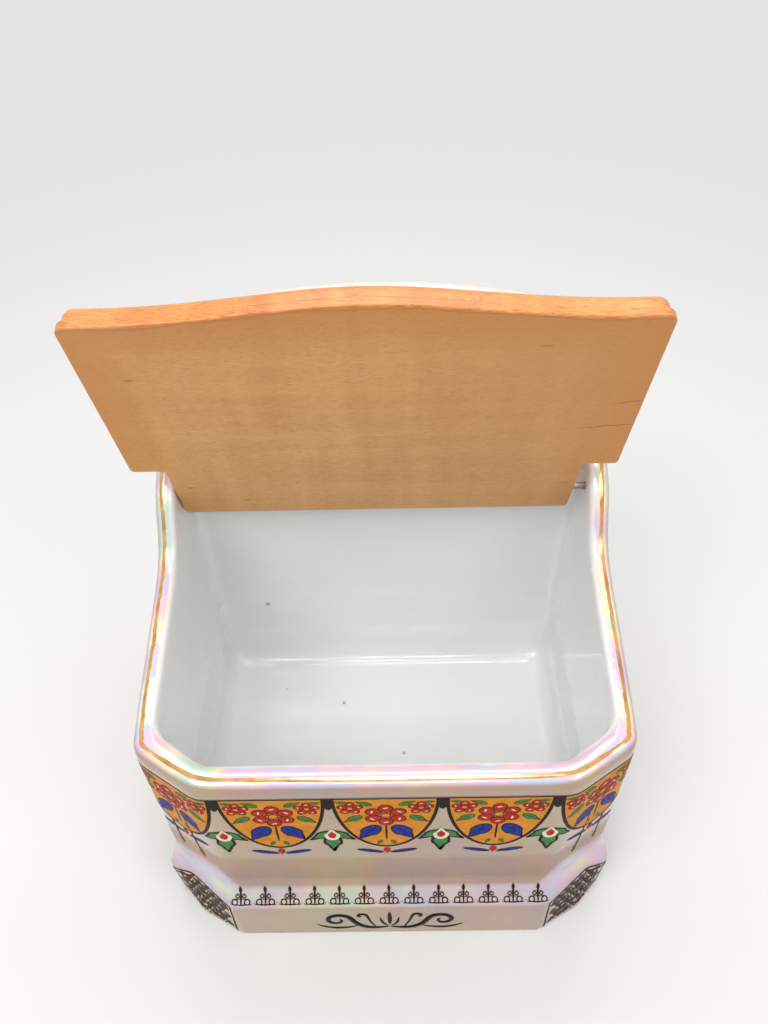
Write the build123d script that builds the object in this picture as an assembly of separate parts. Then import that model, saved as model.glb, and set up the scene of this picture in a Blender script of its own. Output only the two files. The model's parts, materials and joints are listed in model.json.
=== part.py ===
from build123d import *
import math
import os

# A glazed ceramic salt box that stands on a counter or hangs on a wall, with a hinged wooden lid.
# Millimetres and degrees. +Z is up and the open front faces -Y. The origin lies on the floor, midway
# between the two sides and midway between the front of the foot and the flat back.

# ---- Driving dimensions: the foot and its coved ledge ----
foot_width = 144.0
foot_depth = 111.0
foot_height = 20.8
foot_batter = 1.0  # the front of the foot leans back by this much over its height
foot_cut_width = 22.5  # cut front corner, measured from the side, at floor level
foot_cut_depth = 17.0
foot_knee_width = 9.0  # where the cut corner bends, measured from the side
foot_knee_depth = 7.0
ledge_cut_width = 21.8  # the same corner at the top of the foot
ledge_cut_depth = 14.2
ledge_knee_width = 7.2
ledge_knee_depth = 13.2
foot_corner_radius = 2.5
cove_height = 10.2
cove_steps = 6  # levels that shape the cove
knee_share = 0.35  # where a straight cut corner carries the foot's extra corner

# ---- Driving dimensions: the body ----
body_side_setback = 2.0  # body side in from the side of the foot
body_setback = 6.6  # body front behind the front of the foot at floor level
rim_height = 90.0
cut_width_low = 20.2  # cut front corner at the ledge
cut_width_high = 18.6  # cut front corner at the rim
cut_depth = 12.1
cut_corner_radius = 7.0

# ---- Driving dimensions: the hollow ----
side_wall = 6.5
front_wall = 7.8
back_wall = 6.0
floor_height = 9.4
well_cut_width = 14.5
well_cut_depth = 10.0
well_corner_radius = 8.0
floor_radius = 7.0
base_recess = 2.0
base_ring = 7.0
base_ring_radius = 4.0

# ---- Driving dimensions: the rim, the ears and the back plate ----
rim_outer_radius = 3.4
rim_inner_radius = 2.0
slope_start = 18.5  # where the rim starts to climb, behind the front of the foot
slope_length = 43.0
slope_rise = 9.8
slope_radius = 40.0
dip_rise = 16.0  # height of the foot of the ear above the front rim
dip_before_pin = 17.5
ear_front = 9.5  # ceramic left in front of the pin hole
ear_brow = 2.8  # height of that ceramic's front above the pin
ear_top = 10.2  # ceramic left above the pin hole
sweep_rise = 6.0  # how far the rim climbs from the ear to the back plate
sweep_slope = 0.9
plate_above_pin = 64.4  # top of the arch
plate_arch_radius = 200.0
plate_shoulder_radius = 26.0
hanging_hole_radius = 3.5
hanging_hole_drop = 16.0

# ---- Driving dimensions: the hinge ----
pin_radius = 1.1
pin_above_rim = 23.8
pin_from_back_wall = 10.5
pin_running_clearance = 0.06
pin_in_lid = 12.0
pin_end_recess = 0.6

# ---- Driving dimensions: the wooden lid ----
lid_lean = 18.8  # forward of upright, as it stands open
lid_thickness = 7.5
lid_overhang = 0.9  # beyond each side of the body, at the shoulders
lid_taper = 1.7  # how far each side draws in from the shoulder to the front corner
lid_setback = 3.7  # front corners short of the body front, along the shut lid
lid_bulge = 5.6  # how far the middle of the front edge stands out
lid_bulge_flat = 4.5  # straight stretch beside each front corner
lid_tongue_gap = 2.5  # between the tongue and each ear when the lid is centred
lid_side_play = 2.0  # how far the lid has slid to the left along its pins
lid_shoulder = 20.5  # from the pin to the shoulders
lid_tail = 7.0  # from the pin to the rear edge
lid_corner_radius = 3.0
lid_shoulder_radius = 1.5
lid_tail_radius = 1.5
lid_flange = 2.6  # full-size part of the moulded edge
lid_step = 0.7  # how far the moulding steps in from the flange
lid_roundover = 3.0
lid_arris = 0.5

# ---- Places worked out from the driving dimensions ----
foot_front = -foot_depth / 2
back_face = foot_depth / 2
body_width = foot_width - 2 * body_side_setback
body_front = foot_front + body_setback
plate_front = back_face - back_wall
ledge_top = foot_height + cove_height
pin_height = rim_height + pin_above_rim
plate_top = pin_height + plate_above_pin
pin_depth = plate_front - pin_from_back_wall
ear_inner = body_width / 2 - side_wall
tongue_half = ear_inner - lid_tongue_gap
lid_half = body_width / 2 + lid_overhang
lid_reach = math.hypot(pin_depth - body_front, pin_above_rim) - lid_setback
lid_plane_half = lid_thickness / 2


def corner_points(half_width, front, cut_x, cut_y, knee_x, knee_y):
    """Right half of a plan outline, from the back corner round to the front corner."""
    return [
        (half_width, back_face),
        (half_width, front + cut_y),
        (half_width - knee_x, front + knee_y),
        (half_width - cut_x, front),
    ]


def straight_knee(cut_x, cut_y):
    """A point on a straight cut corner, so that every outline has as many corners as the foot."""
    return cut_x * knee_share, cut_y * (1 - knee_share)


def plan_face(half, height, radii):
    """Mirror half an outline and round its corners with one radius each."""
    points = half + [(-x, y) for x, y in reversed(half)]
    corners = list(radii) + list(reversed(radii))
    outline = FilletPolyline(*[(x, y, height) for x, y in points], radius=corners, close=True)
    return Face(Wire(outline.edges()))


def between(low, high, share):
    """Blend two half outlines point by point."""
    return [
        (xa + (xb - xa) * share, ya + (yb - ya) * share)
        for (xa, ya), (xb, yb) in zip(low, high)
    ]


# ---- The ceramic box ----
def foot_and_body():
    """The cast outside: foot, coved ledge and body, as solids stacked on one another."""
    half_foot = foot_width / 2
    half_body = body_width / 2
    floor_half = corner_points(half_foot, foot_front, foot_cut_width, foot_cut_depth,
                               foot_knee_width, foot_knee_depth)
    top_half = corner_points(half_foot, foot_front + foot_batter, ledge_cut_width,
                             ledge_cut_depth - foot_batter, ledge_knee_width,
                             ledge_knee_depth - foot_batter)
    low_half = corner_points(half_body, body_front, cut_width_low, cut_depth,
                             *straight_knee(cut_width_low, cut_depth))
    high_half = corner_points(half_body, body_front, cut_width_high, cut_depth,
                              *straight_knee(cut_width_high, cut_depth))
    foot_radii = [0, foot_corner_radius, 0, foot_corner_radius]
    body_radii = [0, cut_corner_radius, 0, cut_corner_radius]
    foot_top = plan_face(top_half, foot_height, foot_radii)
    body_foot = plan_face(low_half, ledge_top, body_radii)
    foot = loft([plan_face(floor_half, 0, foot_radii), foot_top], ruled=True)

    cove_sections = [foot_top]
    for step in range(1, cove_steps):
        angle = math.radians(90 * step / cove_steps)
        share = math.sin(angle)
        radii = [a + (b - a) * share for a, b in zip(foot_radii, body_radii)]
        height = foot_height + cove_height * (1 - math.cos(angle))
        cove_sections.append(plan_face(between(top_half, low_half, share), height, radii))
    cove_sections.append(body_foot)
    cove = loft(cove_sections, ruled=True)

    shoulder = plan_face(high_half, rim_height + slope_rise, body_radii)
    body = loft([body_foot, shoulder], ruled=True)
    back = extrude(shoulder, plate_top - rim_height - slope_rise, dir=(0, 0, 1))
    return foot + cove + body + back


def well():
    """The hollow: a cut-cornered well with a coved floor, open at the top."""
    front = body_front + front_wall
    half = [
        (ear_inner, plate_front),
        (ear_inner, front + well_cut_depth),
        (ear_inner - well_cut_width, front),
    ]
    radii = [0, well_corner_radius, well_corner_radius]
    hollow = extrude(plan_face(half, floor_height, radii), plate_top, dir=(0, 0, 1))
    floor_edges = hollow.edges().group_by(Axis.Z)[0]
    return fillet(floor_edges, floor_radius)


def rim_cutter():
    """Everything in front of the back plate and above the rim line, seen from the side."""
    start = foot_front + slope_start
    slope_end = (0, start + slope_length, rim_height + slope_rise)
    plate_foot = (0, plate_front, pin_height + ear_top + sweep_rise)
    front = foot_front - foot_depth
    top = plate_top + foot_depth
    front_line = FilletPolyline((0, front, rim_height), (0, start, rim_height), slope_end,
                                radius=slope_radius)
    ear_line = Spline(
        slope_end,
        (0, pin_depth - dip_before_pin, rim_height + dip_rise),
        (0, pin_depth - ear_front, pin_height + ear_brow),
        (0, pin_depth, pin_height + ear_top),
        plate_foot,
        tangents=[(0, slope_length, slope_rise), (0, 1, sweep_slope)],
    )
    frame = Polyline(plate_foot, (0, plate_front, top), (0, front, top), (0, front, rim_height))
    side_view = Face(Wire(front_line.edges() + ear_line.edges() + frame.edges()))
    return extrude(side_view, body_width, dir=(1, 0, 0), both=True)


def plate_cutter():
    """Everything above the arched top of the back plate, seen from the front."""
    half = body_width / 2
    arch_centre = plate_top - plate_arch_radius
    shoulder_x = half - plate_shoulder_radius
    reach = plate_arch_radius - plate_shoulder_radius
    shoulder_z = arch_centre + math.sqrt(reach**2 - shoulder_x**2)
    lean = math.asin(shoulder_x / reach)
    meet = (plate_arch_radius * math.sin(lean), arch_centre + plate_arch_radius * math.cos(lean))
    turn = math.pi / 4 - lean / 2
    bend = (shoulder_x + plate_shoulder_radius * math.cos(turn),
            shoulder_z + plate_shoulder_radius * math.sin(turn))
    top = plate_top + foot_depth
    outline = [
        ThreePointArc((half, 0, shoulder_z), (bend[0], 0, bend[1]), (meet[0], 0, meet[1])),
        ThreePointArc((meet[0], 0, meet[1]), (0, 0, plate_top), (-meet[0], 0, meet[1])),
        ThreePointArc((-meet[0], 0, meet[1]), (-bend[0], 0, bend[1]), (-half, 0, shoulder_z)),
        Polyline((-half, 0, shoulder_z), (-body_width, 0, shoulder_z), (-body_width, 0, top),
                 (body_width, 0, top), (body_width, 0, shoulder_z), (half, 0, shoulder_z)),
    ]
    front_view = Face(Wire([edge for piece in outline for edge in piece.edges()]))
    return extrude(front_view, foot_depth, dir=(0, 1, 0), both=True)


def edges_at(solid, y, z, reach=0.01):
    """The straight or arched edges across the box whose middle lies at this y and z."""
    def middle_is_here(edge):
        middle = edge.position_at(0.5)
        return abs(middle.Y - y) < reach and abs(middle.Z - z) < reach
    return [edge for edge in solid.edges() if middle_is_here(edge)]


def cross_hole(radius, y, z, length):
    """A round cutter along X, centred on the middle of the box."""
    return Pos(0, y, z) * Rot(0, 90, 0) * Cylinder(radius, length)


def ceramic_box():
    """The whole cast body with its rounded rim, hinge holes, hanging hole and recessed base."""
    box = foot_and_body() - rim_cutter() - plate_cutter() - well()
    box = fillet(edges_at(box, body_front + front_wall, rim_height), rim_inner_radius)
    outer_edges = edges_at(box, body_front, rim_height) + edges_at(box, plate_front, plate_top)
    box = fillet(outer_edges, rim_outer_radius)
    box -= cross_hole(pin_radius + pin_running_clearance, pin_depth, pin_height, foot_width)
    plate_middle = (plate_front + back_face) / 2
    hanging = Cylinder(hanging_hole_radius, 2 * back_wall)
    box -= Pos(0, plate_middle, plate_top - hanging_hole_drop) * Rot(90, 0, 0) * hanging
    recess_middle = (foot_front + foot_cut_depth + back_face) / 2
    recess = extrude(
        RectangleRounded(foot_width - 2 * foot_cut_width, foot_depth - foot_cut_depth
                         - 2 * base_ring, base_ring_radius),
        base_recess,
    )
    return box - Pos(0, recess_middle, 0) * recess


# ---- The lid and its pins, drawn lying flat: +Y runs from the pin to the front edge and +Z is the
# side that faces into the box when the lid is shut ----
def board_face(height, inset):
    """The lid's outline, drawn in by the inset at the front and the sides only."""
    back_half = lid_half - inset
    front_half = back_half - lid_taper
    front = lid_reach - inset
    flat = front_half - lid_corner_radius - lid_bulge_flat
    shoulder = (back_half, lid_shoulder)
    corner = (front_half, front)
    side = FilletPolyline((0, -lid_tail), (tongue_half, -lid_tail), (tongue_half, lid_shoulder),
                          shoulder, corner, (flat, front),
                          radius=[lid_tail_radius, 0, lid_shoulder_radius, lid_corner_radius])
    bulge = Spline((flat, front), (0, front + lid_bulge), (-flat, front),
                   tangents=[(-1, 0), (-1, 0)])
    far_side = mirror(side, about=Plane.YZ)
    outline = Wire(side.edges() + bulge.edges() + far_side.edges())
    return Pos(0, 0, height) * Face(outline)


def lid_board():
    """A board with a stepped and rounded edge on three sides, bored at both ends for the pins."""
    flange = extrude(board_face(lid_plane_half - lid_flange, 0), lid_flange, dir=(0, 0, 1))
    flange = fillet(flange.edges().filter_by(Plane.XY), lid_arris)
    panel_height = lid_thickness - lid_flange + lid_arris
    panel = extrude(board_face(-lid_plane_half, lid_step), panel_height, dir=(0, 0, 1))
    panel = fillet(panel.faces().sort_by(Axis.Z)[0].edges(), lid_roundover)
    board = flange + panel
    for side in (-1, 1):
        bore = Rot(0, 90, 0) * Cylinder(pin_radius, pin_in_lid)
        board -= Pos(side * (tongue_half - pin_in_lid / 2), 0, 0) * bore
    return board


def stand_open(shape, slide=0.0):
    """Turn a piece drawn flat to where it is on the open lid, slid along the pins if it is."""
    return Pos(slide, pin_depth, pin_height) * Rot(90 + lid_lean, 0, 0) * shape


def hinge_pin(side):
    """A straight pin from just inside the ear's outer face to the end of the bore in the lid."""
    outer_end = side * (body_width / 2 - pin_end_recess)
    inner_end = side * (tongue_half - pin_in_lid) - lid_side_play
    pin = Rot(0, 90, 0) * Cylinder(pin_radius, abs(outer_end - inner_end))
    return Pos((outer_end + inner_end) / 2, 0, 0) * pin


os.makedirs("parts", exist_ok=True)
export_step(ceramic_box(), "parts/ceramic_box.step")
export_step(stand_open(lid_board(), -lid_side_play), "parts/wooden_lid.step")
for name, side in (("left_hinge_pin", -1), ("right_hinge_pin", 1)):
    export_step(stand_open(hinge_pin(side)), f"parts/{name}.step")
print("lid stands", lid_lean, "degrees forward of upright, pin at", pin_depth, pin_height)
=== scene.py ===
# %% [markdown]
# # A lustre-glazed salt box with a hinged beech lid
# The solid model already holds the box, the lid and the two pins at their real size and place. This
# lesson dresses them: it softens the cast body, mixes the glazes and the wood, and lays the printed
# border, the stamps and the gilding on the surface. Everything is in metres, in the model's own frame.

# %% Load the solid model
import json
import math
import random

import bpy
import numpy as np
from mathutils import Matrix, Vector

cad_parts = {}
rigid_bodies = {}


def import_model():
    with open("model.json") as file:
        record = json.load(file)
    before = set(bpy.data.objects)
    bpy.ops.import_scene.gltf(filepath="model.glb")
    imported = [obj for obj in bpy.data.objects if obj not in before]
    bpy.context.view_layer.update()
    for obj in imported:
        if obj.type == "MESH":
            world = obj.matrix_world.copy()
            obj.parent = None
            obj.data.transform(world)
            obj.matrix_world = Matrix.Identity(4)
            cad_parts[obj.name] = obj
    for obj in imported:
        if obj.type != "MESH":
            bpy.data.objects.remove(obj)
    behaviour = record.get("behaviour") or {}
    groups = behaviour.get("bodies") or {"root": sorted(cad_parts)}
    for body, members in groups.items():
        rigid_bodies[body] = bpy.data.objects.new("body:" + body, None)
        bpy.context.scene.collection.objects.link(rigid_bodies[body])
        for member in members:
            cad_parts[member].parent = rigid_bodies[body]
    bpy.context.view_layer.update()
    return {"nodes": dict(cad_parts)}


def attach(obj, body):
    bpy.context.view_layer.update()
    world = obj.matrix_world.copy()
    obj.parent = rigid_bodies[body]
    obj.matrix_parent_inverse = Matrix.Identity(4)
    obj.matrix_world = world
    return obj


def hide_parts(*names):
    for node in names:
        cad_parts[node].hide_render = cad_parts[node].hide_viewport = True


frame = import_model()
nodes = frame["nodes"]
scene = bpy.context.scene
mm = 0.001
print("pieces of the solid model:", sorted(nodes))

# %% [markdown]
# ## The camera
# The box is seen from above its front edge, looking about 45 degrees down, close enough for the open
# lid to fan out. The camera is built from its own three directions, so its small turn and roll are
# kept exactly, with no tracking constraint to round them off.

# %% Place the camera
view_pitch, view_yaw, view_roll = (math.radians(turn) for turn in (45.53, -1.05, 1.78))
ahead = Vector((math.sin(view_yaw) * math.cos(view_pitch),
                math.cos(view_yaw) * math.cos(view_pitch), -math.sin(view_pitch)))
right = Vector((math.cos(view_yaw), -math.sin(view_yaw), 0))
down = ahead.cross(right)
rolled_right = right * math.cos(view_roll) + down * math.sin(view_roll)
rolled_down = down * math.cos(view_roll) - right * math.sin(view_roll)

camera_data = bpy.data.cameras.new("camera")
camera_data.lens = 29.44
camera_data.clip_start = 0.01
camera = bpy.data.objects.new("camera", camera_data)
scene.collection.objects.link(camera)
camera_place = (0.00399, -0.15108, 0.29704)
camera.matrix_world = Matrix.Translation(camera_place) @ Matrix(
    (rolled_right, -rolled_down, -ahead)).transposed().to_4x4()
scene.camera = camera
print("camera looks", round(math.degrees(view_pitch), 1), "degrees down")

# %% [markdown]
# ## Colours and node helpers
# Painters' colours are written as the eye reads them, from 0 to 255, and turned into the light values
# that a shader needs. A finish is a tree of nodes, and wiring it by hand takes three lines for each
# node, so a small wrapper adds a node, sets it and wires it in one call.

# %% Build colours and node helpers
def paint(red, green, blue):
    """A display colour as the linear light value that a shader takes."""
    def light(value):
        share = value / 255
        return share / 12.92 if share < 0.04045 else ((share + 0.055) / 1.055) ** 2.4
    return (light(red), light(green), light(blue), 1)


class Shader:
    """Adds nodes to one tree, and sets and wires them in the same call."""

    def __init__(self, tree):
        self.tree = tree

    def feed(self, node, wires):
        """Wire each source into its input, or set the input where the source is a plain value."""
        for name, source in wires.items():
            if isinstance(source, bpy.types.NodeSocket):
                self.tree.links.new(source, node.inputs[name])
            else:
                node.inputs[name].default_value = source
        return node

    def add(self, kind, wires=None, **settings):
        node = self.tree.nodes.new(kind)
        for key, value in settings.items():
            setattr(node, key, value)
        return self.feed(node, wires or {})

    def math(self, operation, first, second=0.0, third=0.0, clamp=False):
        return self.add("ShaderNodeMath", {0: first, 1: second, 2: third},
                        operation=operation, use_clamp=clamp).outputs[0]

    def times(self, first, second):
        return self.math("MULTIPLY", first, second)

    def scaled(self, value, factor, offset, clamp=False):
        """The value times a factor, plus an offset."""
        return self.math("MULTIPLY_ADD", value, factor, offset, clamp)

    def mix(self, share, first, second):
        return self.add("ShaderNodeMix", {0: share, 6: first, 7: second},
                        data_type="RGBA").outputs[2]

    def span(self, value, low, high, first=0.0, last=1.0, smooth=False):
        """The first number up to low, the last from high on, and a straight or smooth run between."""
        return self.add("ShaderNodeMapRange", {"Value": value, "From Min": low, "From Max": high,
                                               "To Min": first, "To Max": last},
                        interpolation_type="SMOOTHSTEP" if smooth else "LINEAR").outputs[0]

    def noise(self, place, scale, detail=2.0, rough=0.5):
        return self.add("ShaderNodeTexNoise", {"Vector": place, "Scale": scale, "Detail": detail,
                                               "Roughness": rough}).outputs[0]

    def ramp(self, share, stops):
        node = self.add("ShaderNodeValToRGB", {0: share})
        bar = node.color_ramp.elements
        while len(bar) < len(stops):
            bar.new(0.5)
        for element, (place, colour) in zip(bar, stops):
            element.position, element.color = place, paint(*colour)
        return node.outputs[0]

    def group(self, name, **wires):
        node = self.add("ShaderNodeGroup", node_tree=bpy.data.node_groups[name])
        return self.feed(node, {key.replace("_", " "): source for key, source in wires.items()})


def new_group(name, takes, gives):
    """An empty node group: its wrapper, the sockets it is given and the node that takes results."""
    tree = bpy.data.node_groups.new(name, "ShaderNodeTree")
    for label, kind in takes.items():
        tree.interface.new_socket(label, in_out="INPUT", socket_type="NodeSocket" + kind)
    for label, kind in gives.items():
        tree.interface.new_socket(label, in_out="OUTPUT", socket_type="NodeSocket" + kind)
    shader = Shader(tree)
    return shader, tree.nodes.new("NodeGroupInput").outputs, tree.nodes.new("NodeGroupOutput")


def new_finish(name):
    """A material with its wrapper, its main shader node and the object's own coordinates."""
    finish = bpy.data.materials.new(name)
    finish.use_nodes = True
    shader = Shader(finish.node_tree)
    surface = finish.node_tree.nodes["Principled BSDF"]
    place = shader.add("ShaderNodeTexCoord").outputs["Object"]
    return finish, shader, surface, place


# %% [markdown]
# ## Floor and light
# A pale sheet of paper that curves up behind the box is the plainest studio there is. The paper is a
# plane with its back edge extruded up and the fold bevelled. Four soft boxes light it: one high on
# the left, a smaller one on the right, one overhead that reaches the floor of the well, and one for
# the paper behind. Two small bright panes stand in for a window, because wet-looking glaze shows what
# lights it, and the pale world fills the shadows.

# %% Helpers for working in edit mode
def only(piece):
    """Select one piece alone and make it active."""
    bpy.ops.object.select_all(action="DESELECT")
    piece.select_set(True)
    bpy.context.view_layer.objects.active = piece


def edit(piece, wanted=None, kind="VERT"):
    """Go into edit mode with all parts selected, or only those that the test wants."""
    only(piece)
    bpy.ops.object.mode_set(mode="EDIT")
    bpy.ops.mesh.select_mode(type=kind)
    bpy.ops.mesh.select_all(action="SELECT" if wanted is None else "DESELECT")
    if wanted is not None:
        bpy.ops.object.mode_set(mode="OBJECT")
        parts = {"VERT": piece.data.vertices, "EDGE": piece.data.edges,
                 "FACE": piece.data.polygons}[kind]
        for part in parts:
            part.select = wanted(part)
        bpy.ops.object.mode_set(mode="EDIT")


def done():
    """Leave edit mode and hand the piece back."""
    bpy.ops.object.mode_set(mode="OBJECT")
    return bpy.context.object


def cut(piece, place, direction, clear=False):
    """Cut a piece with a plane through a place in millimetres, and clear beyond it if wanted."""
    edit(piece)
    bpy.ops.mesh.bisect(plane_co=[value * mm for value in place], plane_no=direction,
                        clear_outer=clear)
    done()


def apply_modifier(piece, kind, **settings):
    """Add one modifier, give it its settings and apply it at once."""
    only(piece)
    modifier = piece.modifiers.new(kind.lower(), kind)
    for key, value in settings.items():
        setattr(modifier, key, value)
    bpy.ops.object.modifier_apply(modifier=modifier.name)


# %% Make the paper sweep
bpy.ops.object.select_all(action="DESELECT")
bpy.ops.mesh.primitive_plane_add(size=5, location=(0, 0, 0))
paper = bpy.context.object
paper.name = "paper_sweep"
edit(paper, lambda v: v.co.y > 2)
bpy.ops.mesh.extrude_region_move(TRANSFORM_OT_translate={"value": (0, 0, 3)})
done()
edit(paper, lambda e: all(paper.data.vertices[v].co.y > 2 and paper.data.vertices[v].co.z < 0.1
                          for v in e.vertices), "EDGE")
bpy.ops.mesh.bevel(offset=1.5, segments=24)
done()
bpy.ops.object.shade_smooth()

# %% Let the far paper fade into an even pale grey
backdrop_level = 0.78


def backdrop_rays(shader):
    """1 for the rays that show the backdrop: from the camera, off gloss and through glass."""
    rays = shader.add("ShaderNodeLightPath").outputs
    return shader.math("MAXIMUM", rays["Is Camera Ray"], shader.math(
        "MAXIMUM", rays["Is Glossy Ray"], rays["Is Transmission Ray"]))


fade_start, fade_end = 0.2, 0.75
matt, shader, near_paper, place = new_finish("matt_paper")
shader.feed(near_paper, {"Base Color": (0.76, 0.76, 0.75, 1), "Roughness": 0.9})
far_paper = shader.add("ShaderNodeEmission", {"Strength": backdrop_level})
reach = shader.add("ShaderNodeVectorMath", {0: place}, operation="LENGTH").outputs["Value"]
fade = shader.span(reach, fade_start, fade_end, smooth=True)
blend = shader.add("ShaderNodeMixShader", {0: shader.times(fade, backdrop_rays(shader)),
                                           1: near_paper.outputs[0], 2: far_paper.outputs[0]})
shader.feed(matt.node_tree.nodes["Material Output"], {"Surface": blend.outputs[0]})
paper.data.materials.append(matt)
print("the paper glows evenly beyond", fade_end, "m")


# %% Set the lamps and the world
def soft_box(name, place, aim, wide, tall, watts):
    """A rectangular area lamp that faces its aim."""
    lamp = bpy.data.lights.new(name, "AREA")
    lamp.shape = "RECTANGLE"
    lamp.size, lamp.size_y, lamp.energy = wide, tall, watts
    holder = bpy.data.objects.new(name, lamp)
    scene.collection.objects.link(holder)
    holder.location = place
    holder.rotation_euler = (Vector(aim) - Vector(place)).to_track_quat("-Z", "Y").to_euler()


soft_box("key_box", (-0.4, -0.45, 0.9), (0, 0, 0.06), 0.5, 0.4, 3.6)
soft_box("fill_box", (0.55, -0.45, 0.8), (0, 0, 0.06), 0.4, 0.4, 1.4)
soft_box("top_box", (0.03, -0.08, 0.95), (0, 0, 0.05), 0.3, 0.25, 2.0)
soft_box("back_box", (0.0, 0.6, 1.25), (0, 0.5, 0), 0.9, 0.5, 5.5)
soft_box("pane_left", (-0.04, -0.655, 0.9), (0, 0.04, 0.03), 0.047, 0.036, 0.3)
soft_box("pane_right", (0.072, -0.655, 0.9), (0, 0.04, 0.03), 0.08, 0.036, 0.5)

room_level = 0.47
world = bpy.data.worlds.new("pale_room")
scene.world = world
world.use_nodes = True
shader = Shader(world.node_tree)
level = shader.span(backdrop_rays(shader), 0.0, 1.0, room_level, backdrop_level)
shader.feed(world.node_tree.nodes["Background"], {"Color": (1, 1, 1, 1), "Strength": level})
scene.view_settings.view_transform = "Standard"

# %% [markdown]
# ## The cast body
# The real box is slip-cast: liquid clay sets in a plaster mould, so no edge is sharp and the glaze
# pools a little in every corner. Bevelling each edge by hand would leave the rim, the ears and the
# foot looking machined. Instead a copy of the solid is recast: its loose triangles are merged, it is
# remeshed in a fine grid, smoothed as the glaze smooths it, and thinned again where it is flat. The
# well gets a second, stronger smoothing, because its corners are rounder than the outside ones. So do
# the bends of the rim and the arch of the back plate, where a mould is fettled with a wet sponge.

# %% Recast the body
solid_body = nodes["ceramic_box"]
body = solid_body.copy()
body.data = solid_body.data.copy()
body.name = "glazed_body"
body.parent = None
scene.collection.objects.link(body)
edit(body)
bpy.ops.mesh.remove_doubles(threshold=0.02 * mm)
done()
apply_modifier(body, "REMESH", mode="VOXEL", voxel_size=0.75 * mm)
apply_modifier(body, "SMOOTH", factor=0.5, iterations=10)
print("recast body:", len(body.data.polygons), "faces")


# %% Round the well
def measures(piece):
    """Each vertex's distance from the middle plane, its depth and its height, in millimetres."""
    flat = np.empty(len(piece.data.vertices) * 3)
    piece.data.vertices.foreach_get("co", flat)
    spots = flat.reshape(-1, 3) / mm
    return np.abs(spots[:, 0]), spots[:, 1], spots[:, 2]


def ease(value, low, high):
    """0 below low, 1 above high and a smooth step between."""
    share = np.clip((value - low) / (high - low), 0, 1)
    return share * share * (3 - 2 * share)


def smooth_where(piece, weights, iterations):
    """Smooth a piece, each point by its own weight."""
    group = piece.vertex_groups.new(name="weights")
    for index in np.flatnonzero(weights > 0.01):
        group.add([int(index)], float(weights[index]), "REPLACE")
    apply_modifier(piece, "SMOOTH", factor=0.5, iterations=iterations, vertex_group=group.name)
    piece.vertex_groups.clear()


well_side, well_front, well_back, skin = 63.5, -41.1, 49.5, 0.6
across, depth, height = measures(body)
in_well = ((across < well_side + skin) & (depth > well_front - skin) & (depth < well_back + skin)
           & (height > 8.5))
smooth_where(body, np.where(in_well, 1 - ease(height, 78, 96), 0), 90)

# %% Ease the rim's corners and the arch
front_bend, side_bend, hole = (51.2, -48.9), (70.0, -36.8), (0.0, 162.2)
from_bend = np.minimum(np.hypot(across - front_bend[0], depth - front_bend[1]),
                       np.hypot(across - side_bend[0], depth - side_bend[1]))
from_hole = np.hypot(across - hole[0], height - hole[1])
at_bends = ease(height, 40, 62) * (1 - ease(from_bend, 6, 16))
at_arch = ease(height, 126, 140) * ease(from_hole, 5, 9)
smooth_where(body, np.maximum(0.7 * at_bends, at_arch), 30)
wanted_triangles = 190000
apply_modifier(body, "DECIMATE", ratio=wanted_triangles / (2 * len(body.data.polygons)))
bpy.ops.object.shade_smooth()
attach(body, "box")
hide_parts("ceramic_box")
print("thinned body:", len(body.data.polygons), "triangles")

# %% [markdown]
# ## Measuring the rim
# The gilding follows the outer edge of the lip, over the front, round the cut corners and up the
# ears. A line that follows an edge needs a coordinate that crosses it, so each point of the body
# gets one: how far it lies below the crest of the rim, less how far it lies in from the outside. It
# is zero on the shoulder of the lip, negative on top and positive down the wall. A second value says
# how deep in the well a point is, because lustre was brushed on the outside and the rim alone.

# %% Store the rim coordinate and the well depth
across, depth, height = measures(body)
rim_front, side_rim_start, rim_back, front_rim_height = -52, -35, 49.2, 90.0
on_side_rim = (across > 65) & (across < 69) & (depth < 49.5)
steps = np.arange(rim_front, 50, 1.0)
crest = [height[on_side_rim & (abs(depth - step) < 0.8)].max() if step > side_rim_start
         else front_rim_height for step in steps]
line_depth = np.arange(rim_front, rim_back, 0.4)
line_height = np.interp(line_depth, steps, crest)

high = height > 60
below_crest = np.full(len(height), 40.0)
gaps = np.hypot(depth[high, None] - line_depth[None, :], height[high, None] - line_height[None, :])
crest_here = np.interp(depth[high], line_depth, line_height)
below_crest[high] = gaps.min(axis=1) * np.sign(crest_here - height[high])


def rounded_least(*distances, radius=1.7):
    """The least of several distances, eased where two of them meet."""
    return -radius * np.log(sum(np.exp(-np.clip(each, -40, 200) / radius) for each in distances))


def depth_in(side, front, wide, deep):
    """How far each point lies in from a side, the front and the cut corner between them."""
    from_cut = (((side - across) * deep + (depth - front) * wide - wide * deep)
                / math.hypot(wide, deep))
    return rounded_least(side - across, depth - front, from_cut)


from_outside = depth_in(70.0, -48.9, 18.9, 12.1)
well_floor, plate_face = 8, 50.6
before_plate = (plate_face - depth) * 3
inside = np.minimum(depth_in(well_side, well_front, 14.5, 10.0), before_plate)
inside = np.minimum(inside, np.where(height > well_floor, 99, -99))
on_plate = ease(height, crest[-1] - 1, crest[-1] + 3)
inside = inside + (before_plate - inside) * on_plate


def store(piece, name, values):
    """Keep one number for each point of a piece, for its material to read."""
    layer = piece.data.attributes.new(name, "FLOAT", "POINT")
    layer.data.foreach_set("value", np.asarray(values, dtype=np.float32))


rim_value = below_crest - np.clip(from_outside, -1, 12)
far_from_rim = 60.0
store(body, "rim_line", np.where(depth > 49.8, far_from_rim, rim_value))
store(body, "well_depth", inside)
print("rim climbs from", round(float(line_height.min()), 1), "to",
      round(float(line_height.max()), 1), "mm")

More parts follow.
